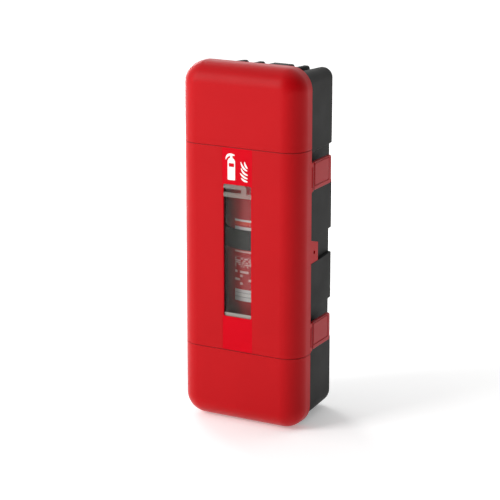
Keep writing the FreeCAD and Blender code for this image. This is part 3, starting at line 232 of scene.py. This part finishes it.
def moulded_plastic(name, colour, shade, grain_mm, grain_depth, roughness, gloss=0.1, bloom=0.0):
    """Injection-moulded plastic: an even colour that drifts a little, over a fine eroded grain."""
    material, tree, shader, place = start_material(name)
    cloud = noise(tree, place, 90.0, 3.0)
    grain = noise(tree, place, grain_mm, 2.0)
    tint = blend_colours(tree, cloud, linear(colour), linear(shade))
    sheen = spread(tree, cloud, 0.3, 0.7, roughness - GLOSS_SPREAD, roughness + GLOSS_SPREAD)
    emboss(tree, shader, grain, 0.5, grain_depth)
    tree.links.new(tint, shader.inputs["Base Color"])
    tree.links.new(sheen, shader.inputs["Roughness"])
    shader.inputs["IOR"].default_value = 1.53
    shader.inputs["Specular IOR Level"].default_value = gloss
    shader.inputs["Sheen Weight"].default_value = bloom
    shader.inputs["Sheen Roughness"].default_value = 0.35
    return material


def abs_cover_red():
    """ABS, moulded with a fine satin grain: even red with broad soft highlights."""
    return moulded_plastic("abs_moulded_red", "#BD0610", "#B4050E", 0.9, 0.02, 0.42, 0.1, 0.22)


def abs_latch_red():
    """ABS latch, moulded a little duller than the cover."""
    return moulded_plastic("abs_latch_red", "#B00D18", "#A50B15", 0.9, 0.03, 0.38, 0.1, 0.1)


def polypropylene_case_grey():
    """Polypropylene, moulded against an eroded tool: dark grey with a matt, slightly speckled face."""
    return moulded_plastic("polypropylene_dark_grey", "#292928", "#242423", 1.2, 0.06, 0.55, 0.07)


def polyamide_black():
    """Glass-filled polyamide for the saddles, anchors and skirt: black, matt and faintly rough."""
    return moulded_plastic("polyamide_black", "#1D1D1D", "#242423", 1.0, 0.06, 0.55)


def polycarbonate_pane():
    """Polycarbonate, moulded: clear, with a painted reflection on the bars across its head, and a paler,
    less clear sill and right edge.
    """
    material, tree, shader, place = start_material("polycarbonate_clear")
    across, deep, up = add(tree, "ShaderNodeSeparateXYZ", {"Vector": place}).outputs
    wave = noise(tree, place, 60.0, 1.0)
    mottle = noise(tree, place, 5.0, 3.0)
    # painted reflection: the bars across the head are painted pale and less clear where the window frame's
    # reflection lies on them; the sill and right edge get the same paler paint
    reflection_bars = calc(tree, "LESS_THAN", deep, PANE_FRONT * MM)
    sill = calc(tree, "LESS_THAN", up, PALE_SILL * MM)
    edge = calc(tree, "GREATER_THAN", across, PALE_EDGE * MM)
    rim = calc(tree, "MAXIMUM", sill, edge)
    reflection_and_pale_rim = calc(tree, "MAXIMUM", reflection_bars, rim)
    pale_colour = blend_colours(tree, mottle, linear("#B9B5AC"), linear("#96928A"))
    tint = blend_colours(tree, reflection_and_pale_rim, linear("#5E605A"), pale_colour)
    strength = calc(tree, "ADD", reflection_and_pale_rim, rim)
    veil = spread(tree, strength, 0.0, 2.0, 0.1, 0.72)
    sheen = spread(tree, reflection_and_pale_rim, 0.0, 1.0, 0.04, 0.4)
    emboss(tree, shader, wave, 0.05, 0.2)
    tree.links.new(tint, shader.inputs["Base Color"])
    tree.links.new(veil, shader.inputs["Alpha"])
    tree.links.new(sheen, shader.inputs["Roughness"])
    shader.inputs["IOR"].default_value = 1.58
    return material


def printed_film(name, colour, shade, roughness=0.3):
    """Printed vinyl film: saturated ink under a thin clear coat."""
    material, tree, shader, place = start_material(name)
    ink = noise(tree, place, 25.0, 2.0)
    dots = noise(tree, place, 1.5, 1.0)
    tint = blend_colours(tree, ink, linear(colour), linear(shade))
    emboss(tree, shader, dots, 0.1, 0.01)
    tree.links.new(tint, shader.inputs["Base Color"])
    shader.inputs["Roughness"].default_value = roughness
    shader.inputs["Specular IOR Level"].default_value = 0.05
    return material


def print_blocks(tree, sheet, size, fill, low, high):
    """Where blocks that stand for small print lie, between two heights."""
    block = (size[0] * MM, 1.0, size[1] * MM)
    cell = add(tree, "ShaderNodeVectorMath", {0: sheet, 1: block}, operation="SNAP")
    chance = add(tree, "ShaderNodeTexWhiteNoise", {"Vector": cell.outputs["Vector"]}).outputs["Value"]
    inked = calc(tree, "LESS_THAN", chance, fill)
    up = add(tree, "ShaderNodeSeparateXYZ", {"Vector": sheet}).outputs["Z"]
    row = calc(tree, "MODULO", up, size[1] * MM)
    solid = calc(tree, "LESS_THAN", row, size[1] * MM * PRINT_LINE)
    above = calc(tree, "GREATER_THAN", up, low * MM)
    below = calc(tree, "LESS_THAN", up, high * MM)
    for part in (solid, above, below):
        inked = calc(tree, "MULTIPLY", inked, part)
    return inked


def bottle_sticker():
    """Printed polyester film on the bottle: flat bands of ink, and blocks where small print would be."""
    material, tree, shader, place = start_material("bottle_label_film")
    across, deep, up = add(tree, "ShaderNodeSeparateXYZ", {"Vector": place}).outputs
    depth = calc(tree, "SUBTRACT", BOTTLE_Y * MM, deep)
    angle = calc(tree, "ARCTAN2", across, depth)
    arc = calc(tree, "MULTIPLY", angle, BOTTLE_R * MM)
    sheet = add(tree, "ShaderNodeCombineXYZ", {"X": arc, "Z": up}).outputs["Vector"]
    share = spread(tree, up, STICKER_FOOT * MM, STICKER_HEAD * MM, 0.0, 1.0)
    bands = add(tree, "ShaderNodeValToRGB", {"Fac": share})
    ramp = bands.color_ramp
    ramp.interpolation = "CONSTANT"
    ramp.elements.remove(ramp.elements[1])
    for k, (height, colour) in enumerate(STICKER_BANDS):
        place_on_ramp = (height - STICKER_FOOT) / (STICKER_HEAD - STICKER_FOOT)
        stop = ramp.elements[0] if k == 0 else ramp.elements.new(place_on_ramp)
        stop.color = linear(colour)
    printed = calc(tree, "GREATER_THAN", arc, PRINT_EDGE * MM)
    tint = bands.outputs["Color"]
    for blocks in (SMALL_PRINT, LARGE_PRINT):
        tint = blend_colours(tree, print_blocks(tree, sheet, *blocks), tint, linear("#DDB4B0"))
    tint = blend_colours(tree, printed, linear(STICKER_RED), tint)
    dots = noise(tree, place, 1.5, 1.0)
    emboss(tree, shader, dots, 0.1, 0.01)
    tree.links.new(tint, shader.inputs["Base Color"])
    shader.inputs["Roughness"].default_value = 0.32
    return material


def gauge_dial():
    """Printed card behind the gauge lens: pale, with a ring of coloured sectors and fine ticks."""
    material, tree, shader, place = start_material("dial_print")
    across, deep, up = add(tree, "ShaderNodeSeparateXYZ", {"Vector": place}).outputs
    rise = calc(tree, "SUBTRACT", up, DIAL_Z * MM)
    flat = add(tree, "ShaderNodeCombineXYZ", {"X": across, "Y": rise}).outputs["Vector"]
    radius = add(tree, "ShaderNodeVectorMath", {0: flat}, operation="LENGTH").outputs["Value"]
    angle = calc(tree, "ARCTAN2", across, rise)
    share = spread(tree, angle, -math.pi, math.pi, 0.0, 1.0)
    sectors = add(tree, "ShaderNodeValToRGB", {"Fac": share})
    ramp = sectors.color_ramp
    ramp.interpolation = "CONSTANT"
    ramp.elements.remove(ramp.elements[1])
    ramp.elements[0].color = linear(DIAL_PALE)
    for position, colour in DIAL_SECTORS:
        ramp.elements.new(position).color = linear(colour)
    inner = calc(tree, "GREATER_THAN", radius, DIAL_RING[0] * MM)
    outer = calc(tree, "LESS_THAN", radius, DIAL_RING[1] * MM)
    ring = calc(tree, "MULTIPLY", inner, outer)
    step = calc(tree, "MODULO", angle, DIAL_STEP)
    offset = calc(tree, "ABSOLUTE", step)
    tick = calc(tree, "LESS_THAN", offset, DIAL_TICK)
    marked = calc(tree, "MULTIPLY", tick, ring)
    tint = blend_colours(tree, ring, linear(DIAL_PALE), sectors.outputs["Color"])
    tint = blend_colours(tree, marked, tint, linear("#1A1A1A"))
    tree.links.new(tint, shader.inputs["Base Color"])
    shader.inputs["Roughness"].default_value = 0.5
    return material


def steel(name, colour, shade, roughness, streak_mm=0.8, length_mm=20.0):
    """Drawn or turned steel: grey metal with fine streaks along its length."""
    material, tree, shader, place = start_material(name)
    grain = (per_metre(streak_mm), per_metre(streak_mm), per_metre(length_mm))
    stretched = add(tree, "ShaderNodeMapping", {"Vector": place, "Scale": grain}).outputs["Vector"]
    inputs = {"Vector": stretched, "Scale": 1.0, "Detail": 3.0}
    streak = add(tree, "ShaderNodeTexNoise", inputs).outputs["Fac"]
    tint = blend_colours(tree, streak, linear(colour), linear(shade))
    sheen = spread(tree, streak, 0.0, 1.0, roughness * 0.7, roughness * 1.3)
    tree.links.new(tint, shader.inputs["Base Color"])
    tree.links.new(sheen, shader.inputs["Roughness"])
    shader.inputs["Metallic"].default_value = 1.0
    return material


def powder_coat(name, colour, shade, roughness):
    """Powder-coated steel: gloss colour over a faint orange peel."""
    material, tree, shader, place = start_material(name)
    cloud = noise(tree, place, 70.0, 2.0)
    peel = noise(tree, place, 2.2, 1.0)
    tint = blend_colours(tree, cloud, linear(colour), linear(shade))
    emboss(tree, shader, peel, 0.25, 0.05)
    tree.links.new(tint, shader.inputs["Base Color"])
    shader.inputs["Roughness"].default_value = roughness
    shader.inputs["Specular IOR Level"].default_value = 0.3
    return material


def rubber(name, colour, rib_mm=0.0):
    """Moulded rubber: near black and dull, with ribs across it where it has them."""
    material, tree, shader, place = start_material(name)
    dust = noise(tree, place, 8.0, 5.0)
    tint = blend_colours(tree, dust, linear(colour), linear("#2A2A29"))
    height = dust
    depth = 0.05
    if rib_mm:
        ribs = add(tree, "ShaderNodeTexWave", {"Vector": place, "Scale": per_metre(rib_mm) / 20},
                   wave_type="BANDS", bands_direction="Z")
        height = ribs.outputs["Fac"]
        depth = 0.3
    emboss(tree, shader, height, 0.6, depth)
    tree.links.new(tint, shader.inputs["Base Color"])
    shader.inputs["Roughness"].default_value = 0.7
    return material


def brass():
    """Turned brass: warm yellow metal with fine tool rings."""
    return steel("turned_brass", "#C9A55A", "#B18F48", 0.28, 12.0, 0.7)


def dry_powder():
    """Loose dry powder: pale blue-white grains with no shine."""
    material, tree, shader, place = start_material("dry_powder")
    grains = noise(tree, place, 1.5, 6.0)
    tint = blend_colours(tree, grains, linear("#D9DCE4"), linear("#C5C9D4"))
    emboss(tree, shader, grains, 0.8, 0.4)
    tree.links.new(tint, shader.inputs["Base Color"])
    shader.inputs["Roughness"].default_value = 0.95
    return material


def gauge_glass():
    """Moulded acrylic gauge lens: clear and glossy, with a faint moulding wave."""
    material, tree, shader, place = start_material("acrylic_gauge_lens")
    wave = noise(tree, place, 9.0, 1.0)
    emboss(tree, shader, wave, 0.1, 0.05)
    shader.inputs["Base Color"].default_value = linear("#F6F8F8")
    shader.inputs["Roughness"].default_value = 0.05
    shader.inputs["Alpha"].default_value = 0.15
    return material


COVER_RED = abs_cover_red()
LATCH_RED = abs_latch_red()
CASE_GREY = polypropylene_case_grey()
BLACK_PLASTIC = polyamide_black()
PANE = polycarbonate_pane()
LABEL_RED = printed_film("vinyl_film_red", "#CF0018", "#C70016")
SIGN_WHITE = printed_film("ink_white", "#F4F4F2", "#ECECEA", 0.4)
BOTTLE_PRINT = bottle_sticker()
ZINC = steel("zinc_plated_steel", "#B9BABA", "#A2A3A4", 0.35)
STAINLESS = steel("drawn_stainless_steel", "#C4C4C2", "#AFAFAD", 0.25)
SPRING_STEEL = steel("spring_wire", "#9A9A9C", "#828285", 0.3)
CHROME = steel("chrome_plate", "#DADADC", "#CFCFD2", 0.1)
BOTTLE_RED = powder_coat("bottle_powder_coat_red", "#B01420", "#A5121D", 0.28)
HANDLE_BLACK = powder_coat("handle_powder_coat_black", "#1B1B1B", "#232323", 0.4)
NEEDLE_BLACK = powder_coat("needle_paint_black", "#151515", "#1C1C1C", 0.5)
STRAP_RUBBER = rubber("strap_rubber", "#141414", 3.0)
PAD_RUBBER = rubber("pad_rubber", "#1A1A1A")
BRASS = brass()
POWDER = dry_powder()
LENS = gauge_glass()
TUBE_PLASTIC = moulded_plastic("polyethylene_tube", "#D8D8D0", "#CFCFC6", 1.0, 0.02, 0.45)
DIAL_WHITE = gauge_dial()

FINISHES = {
    "rear_shell": CASE_GREY, "hinge_pins": STAINLESS, "upper_cover": COVER_RED,
    "middle_cover": COVER_RED, "lower_cover": COVER_RED, "cover_screws": ZINC, "window_pane": PANE,
    "window_retainer": BLACK_PLASTIC, "pane_screws": ZINC, "front_label": LABEL_RED,
    "extinguisher_sign": SIGN_WHITE, "flame_sign": SIGN_WHITE, "latch_pins": STAINLESS,
    "upper_latch": LATCH_RED, "lower_latch": LATCH_RED, "base_pad": PAD_RUBBER,
    "lower_saddle": BLACK_PLASTIC, "upper_saddle": BLACK_PLASTIC, "saddle_screws": ZINC,
    "strap_anchors": BLACK_PLASTIC, "retaining_strap": STRAP_RUBBER, "buckle_frame": ZINC,
    "buckle_pin": STAINLESS, "buckle_lever": ZINC, "cylinder": BOTTLE_RED, "powder_charge": POWDER,
    "dip_tube": TUBE_PLASTIC, "base_skirt": BLACK_PLASTIC, "cylinder_label": BOTTLE_PRINT,
    "neck_ring": BRASS, "valve_body": BRASS, "hose_outlet": BRASS, "valve_stem": STAINLESS,
    "stem_spring": SPRING_STEEL, "carry_handle": HANDLE_BLACK, "squeeze_lever": HANDLE_BLACK,
    "lever_rivet": STAINLESS, "handle_rivet": STAINLESS, "safety_pin": STAINLESS, "pull_ring": STAINLESS,
    "gauge_body": CHROME, "gauge_face": DIAL_WHITE, "gauge_needle": NEEDLE_BLACK, "gauge_lens": LENS,
}


def paint(piece, material):
    piece.data.materials.clear()
    piece.data.materials.append(material)


for node_name, material in FINISHES.items():
    paint(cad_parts[node_name], material)


# ---------------------------------------------------------------- finished shapes

def show(name, made, material, body, replaced=()):
    """Turns a bmesh into a piece on its body, with its finish."""
    mesh = bpy.data.meshes.new(name)
    made.to_mesh(mesh)
    made.free()
    layer = mesh.attributes.get("custom_normal")
    if layer:                    # stored normals would fight the rounded edges
        mesh.attributes.remove(layer)
    for face in mesh.polygons:
        face.use_smooth = True
    piece = bpy.data.objects.new(name, mesh)
    bpy.context.scene.collection.objects.link(piece)
    paint(piece, material)
    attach(piece, body)
    for node_name in replaced:
        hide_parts(node_name)
    return piece


def round_edges(piece, width):
    """Small moulded or broken edges."""
    bevel = piece.modifiers.new("edges", "BEVEL")
    bevel.width = width * MM
    bevel.segments = EDGE_SEGMENTS
    bevel.limit_method = "ANGLE"
    bevel.angle_limit = EDGE_ANGLE
    bevel.use_clamp_overlap = False
    bevel.harden_normals = True
    bevel.miter_outer = "MITER_ARC"


def softened(node_name, body, width):
    """A merged copy of a hard-edged node, with its edges rounded as the mould or the file leaves them."""
    made = bmesh.new()
    made.from_mesh(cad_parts[node_name].data)
    bmesh.ops.remove_doubles(made, verts=made.verts, dist=MERGE)
    bmesh.ops.join_triangles(made, faces=made.faces, angle_face_threshold=FLAT, angle_shape_threshold=SQUARE)
    round_edges(show(node_name + "_finished", made, FINISHES[node_name], body, [node_name]), width)


SOFT_EDGES = {
    "upper_latch": ("upper_latch", 0.5), "lower_latch": ("lower_latch", 0.5),
    "carry_handle": ("case", 0.35), "squeeze_lever": ("squeeze_lever", 0.35), "buckle_frame": ("case", 0.3),
    "buckle_lever": ("buckle_lever", 0.4), "lower_saddle": ("case", 0.8), "upper_saddle": ("case", 0.8),
    "strap_anchors": ("case", 0.8), "retaining_strap": ("case", 0.5), "window_retainer": ("door", 0.5),
}
for node_name, (body, width) in SOFT_EDGES.items():
    softened(node_name, body, width)


def lathe(points):
    """A shape turned about the bottle's axis from radius and height points, in millimetres."""
    made = bmesh.new()
    verts = [made.verts.new((r * MM, BOTTLE_Y * MM, z * MM)) for r, z in points]
    edges = [made.edges.new(pair) for pair in zip(verts, verts[1:])]
    bmesh.ops.spin(made, geom=verts + edges, cent=(0, BOTTLE_Y * MM, 0), axis=(0, 0, 1), angle=math.tau,
                   steps=BOTTLE_STEPS, use_merge=True)
    bmesh.ops.remove_doubles(made, verts=made.verts, dist=MERGE)
    bmesh.ops.recalc_face_normals(made, faces=made.faces)
    return made


def spun_bottle():
    """The bottle: a drawn steel shell with a smooth domed shoulder and a rounded foot."""
    points = list(BOTTLE_FOOT) + [(BOTTLE_R, SHOULDER_Z)]
    for k in range(1, SHOULDER_STEPS + 1):
        turn = math.pi / 2 * k / SHOULDER_STEPS
        reach = NECK_R + (BOTTLE_R - NECK_R) * math.cos(turn)
        points.append((reach, SHOULDER_Z + SHOULDER_RISE * math.sin(turn)))
    points += [(NECK_R, NECK_TOP), (NECK_BORE[0], NECK_TOP), NECK_BORE]
    round_edges(show("bottle_shell", lathe(points), BOTTLE_RED, "case", ["cylinder"]), BOTTLE_EDGE)


def coil_spring():
    """The return spring under the stem's collar: round wire wound in a plain helix."""
    made = bmesh.new()
    steps = SPRING_TURN_STEPS * SPRING_TURNS
    rise = (SPRING_HEAD - SPRING_FOOT - 2 * SPRING_WIRE) / steps
    start = Matrix.Translation((SPRING_R * MM, BOTTLE_Y * MM, (SPRING_FOOT + SPRING_WIRE) * MM))
    bmesh.ops.create_circle(made, segments=SPRING_WIRE_SIDES, radius=SPRING_WIRE * MM,
                            matrix=start @ Matrix.Rotation(math.pi / 2, 4, "X"))
    bmesh.ops.contextual_create(made, geom=made.edges[:])
    bmesh.ops.spin(made, geom=made.verts[:] + made.edges[:] + made.faces[:], cent=(0, BOTTLE_Y * MM, 0),
                   axis=(0, 0, 1), dvec=(0, 0, rise * MM), angle=math.tau * SPRING_TURNS, steps=steps)
    bmesh.ops.recalc_face_normals(made, faces=made.faces)
    piece = show("stem_coil", made, SPRING_STEEL, "case", ["stem_spring"])
    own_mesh(piece)


def latch_face(y):
    """How far out a latch's outer face stands, at a depth in millimetres."""
    return LATCH_FACE_X - LATCH_LEAN * (y - LATCH_PIN_Y)


def latch_rim(name, latch):
    """The raised rim round a latch's thumb pad, with a groove between the two."""
    made = bmesh.new()
    latch_low, latch_high = box_mm(latch)
    for front, back, foot_inset, head_inset, corner_r in (LATCH_RIM_OUTER, LATCH_RIM_INNER):
        low = latch_low.z + foot_inset
        high = latch_high.z - head_inset
        corners = [made.verts.new((latch_face(y) * MM, y * MM, z * MM))
                   for y, z in ((front, low), (back, low), (back, high), (front, high))]
        made.faces.new(corners)
        bmesh.ops.bevel(made, geom=corners[1:3], offset=corner_r * MM, segments=LATCH_CORNER_STEPS,
                        profile=0.5, affect="VERTICES", material=-1)
    edges = made.edges[:]
    bmesh.ops.delete(made, geom=made.faces[:], context="FACES_ONLY")
    bmesh.ops.bridge_loops(made, edges=edges)
    lifted = bmesh.ops.extrude_face_region(made, geom=made.faces[:])
    moved = [g for g in lifted["geom"] if isinstance(g, bmesh.types.BMVert)]
    bmesh.ops.translate(made, verts=moved, vec=(LATCH_RIM_T * MM, 0, 0))
    bmesh.ops.recalc_face_normals(made, faces=made.faces)
    round_edges(show(name, made, LATCH_RED, latch), LATCH_RIM_EDGE)


spun_bottle()
coil_spring()
latch_rim("upper_latch_rim", "upper_latch")
latch_rim("lower_latch_rim", "lower_latch")


# ---------------------------------------------------------------- stage

def studio_paper():
    """Seamless white paper, lit a little from below so that it stays white round the shadow."""
    material, tree, shader, place = start_material("studio_paper")
    shader.inputs["Base Color"].default_value = linear("#F8F8F8")
    shader.inputs["Roughness"].default_value = 0.9
    shader.inputs["Specular IOR Level"].default_value = 0.0
    shader.inputs["Emission Color"].default_value = linear("#FFFFFF")
    reach = add(tree, "ShaderNodeVectorMath", {0: place}, operation="LENGTH").outputs["Value"]
    glow = spread(tree, reach, GLOW_NEAR, GLOW_FAR, PAPER_GLOW, PAPER_FAR_GLOW)
    tree.links.new(glow, shader.inputs["Emission Strength"])
    return material


def floor():
    mesh = bpy.data.meshes.new("studio_floor")
    made = bmesh.new()
    bmesh.ops.create_grid(made, x_segments=1, y_segments=1, size=FLOOR_REACH)
    bmesh.ops.translate(made, verts=made.verts, vec=(0, 0, cad_box[0].z - FLOOR_DROP))
    made.to_mesh(mesh)
    made.free()
    piece = bpy.data.objects.new("studio_floor", mesh)
    bpy.context.scene.collection.objects.link(piece)
    paint(piece, studio_paper())


def area_light(name, place, aim, size, power):
    light = bpy.data.lights.new(name, "AREA")
    light.shape = "RECTANGLE"
    light.size = size[0]
    light.size_y = size[1]
    light.energy = power
    piece = bpy.data.objects.new(name, light)
    piece.location = place
    piece.rotation_euler = (Vector(aim) - Vector(place)).to_track_quat("-Z", "Y").to_euler()
    bpy.context.scene.collection.objects.link(piece)


def studio():
    world = bpy.data.worlds.new("studio_air")
    world.use_nodes = True
    tree = world.node_tree
    around = add(tree, "ShaderNodeTexCoord").outputs["Generated"]
    facing = add(tree, "ShaderNodeVectorMath", {0: around, 1: Vector(SHADE_SIDE).normalized()},
                 operation="DOT_PRODUCT").outputs["Value"]
    inputs = {"Value": facing, "From Min": SHADE_EDGE[0], "From Max": SHADE_EDGE[1],
              "To Min": AIR, "To Max": SHADE_AIR}
    strength = add(tree, "ShaderNodeMapRange", inputs, interpolation_type="SMOOTHSTEP").outputs["Result"]
    tree.links.new(strength, tree.nodes["Background"].inputs["Strength"])
    tree.nodes["Background"].inputs["Color"].default_value = (1, 1, 1, 1)
    bpy.context.scene.world = world
    bpy.context.scene.view_settings.view_transform = "Standard"
    floor()
    area_light("key", *KEY_LIGHT)
    area_light("left_rim", *RIM_LIGHT)


def camera():
    data = bpy.data.cameras.new("camera")
    data.lens = CAMERA_LENS
    data.clip_end = 100
    piece = bpy.data.objects.new("camera", data)
    piece.location = CAMERA_PLACE
    piece.rotation_euler = (math.radians(90 - CAMERA_TILT), 0, math.radians(CAMERA_YAW))
    bpy.context.scene.collection.objects.link(piece)
    bpy.context.scene.camera = piece


studio()
camera()
